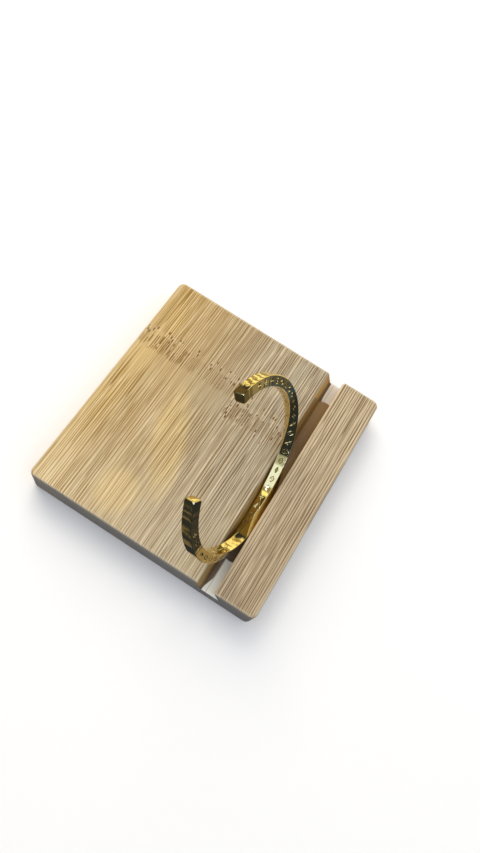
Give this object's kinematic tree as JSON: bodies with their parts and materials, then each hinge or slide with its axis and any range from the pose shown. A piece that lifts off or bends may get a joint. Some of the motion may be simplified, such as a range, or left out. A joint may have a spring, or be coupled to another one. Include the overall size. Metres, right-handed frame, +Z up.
{
  "type": "open cuff bangle on slotted display stand",
  "caption": "Open cuff bangle of one square bar with a half twist, leaning in the slanted slot of a flat bamboo display block.",
  "frame": {"origin": "middle of the display block's underside", "axes": "+Z up, +Y along the block's grain and slot away from the viewer, +X across towards the slot's side"},
  "size_m": [0.0952, 0.1, 0.0666],
  "materials": {
    "bamboo": "sanded bamboo, satin",
    "gold": "mirror-polished yellow gold plating"
  },
  "bodies": {
    "root": {"display_stand": "bamboo", "cuff_bangle": "gold"}
  },
  "joints": []
}
